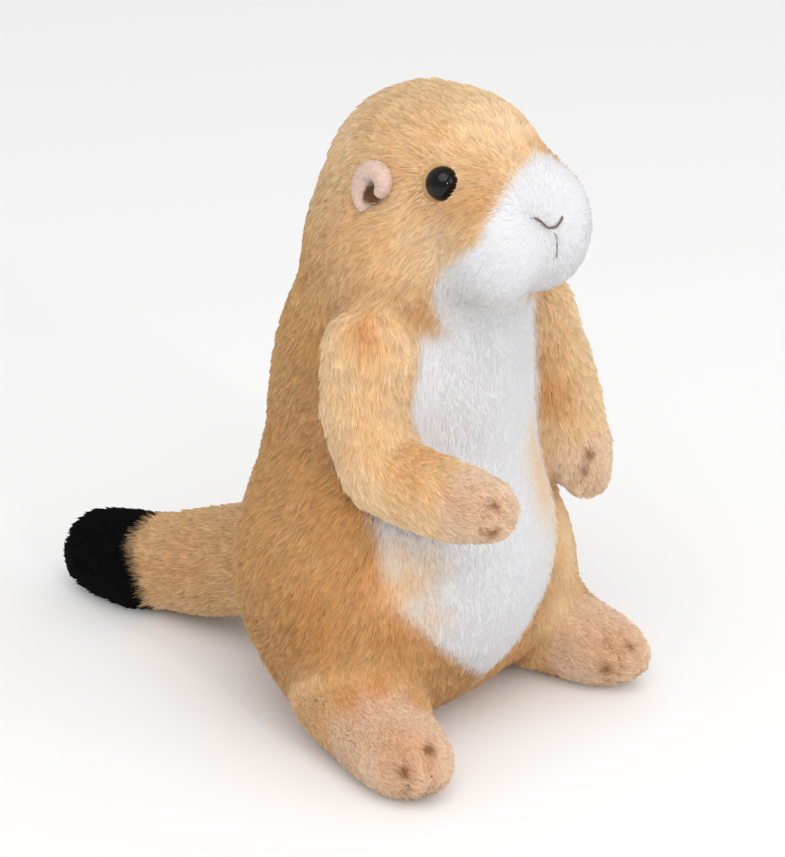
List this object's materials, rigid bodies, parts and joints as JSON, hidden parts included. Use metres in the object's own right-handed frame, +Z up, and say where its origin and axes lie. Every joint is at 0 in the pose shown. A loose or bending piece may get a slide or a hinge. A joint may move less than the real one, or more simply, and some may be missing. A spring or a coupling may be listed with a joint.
{
  "type": "plush prairie dog toy",
  "caption": "Stuffed plush toy prairie dog sitting upright on its haunches, with a rounded body, hanging forepaws and a straight tail laid out behind it.",
  "frame": {"origin": "on the floor, under the middle of the toy's overall box", "axes": "+Z up; -Y is the way the toy faces, so its tail points to +Y; +X is the toy's own left"},
  "size_m": [0.1202, 0.2014, 0.1988],
  "materials": {
    "tan_pile": "short golden tan pile",
    "white_pile": "short white pile",
    "black_pile": "short black pile",
    "beige_pile": "shorter beige pile",
    "ear_pile": "very short pinkish grey pile",
    "stitching": "brown embroidery thread",
    "eye_bead": "glossy black moulded bead"
  },
  "bodies": {
    "root": {"crown": "tan_pile", "muzzle": "white_pile", "ear_right": "ear_pile", "ear_left": "ear_pile", "eye_right": "eye_bead", "eye_left": "eye_bead", "nose_stitch": "stitching", "mouth_stitch": "stitching", "trunk": "tan_pile", "front_panel": "white_pile", "haunch_right": "tan_pile", "haunch_left": "tan_pile", "upper_arm_right": "tan_pile", "forearm_right": "tan_pile", "paw_right": "beige_pile", "paw_right_stitch_1": "stitching", "paw_right_stitch_2": "stitching", "upper_arm_left": "tan_pile", "forearm_left": "tan_pile", "paw_left": "beige_pile", "paw_left_stitch_1": "stitching", "paw_left_stitch_2": "stitching", "foot_right": "beige_pile", "foot_right_stitch_1": "stitching", "foot_right_stitch_2": "stitching", "foot_left": "beige_pile", "foot_left_stitch_1": "stitching", "foot_left_stitch_2": "stitching", "tail": "tan_pile", "tail_tip": "black_pile"}
  },
  "joints": []
}
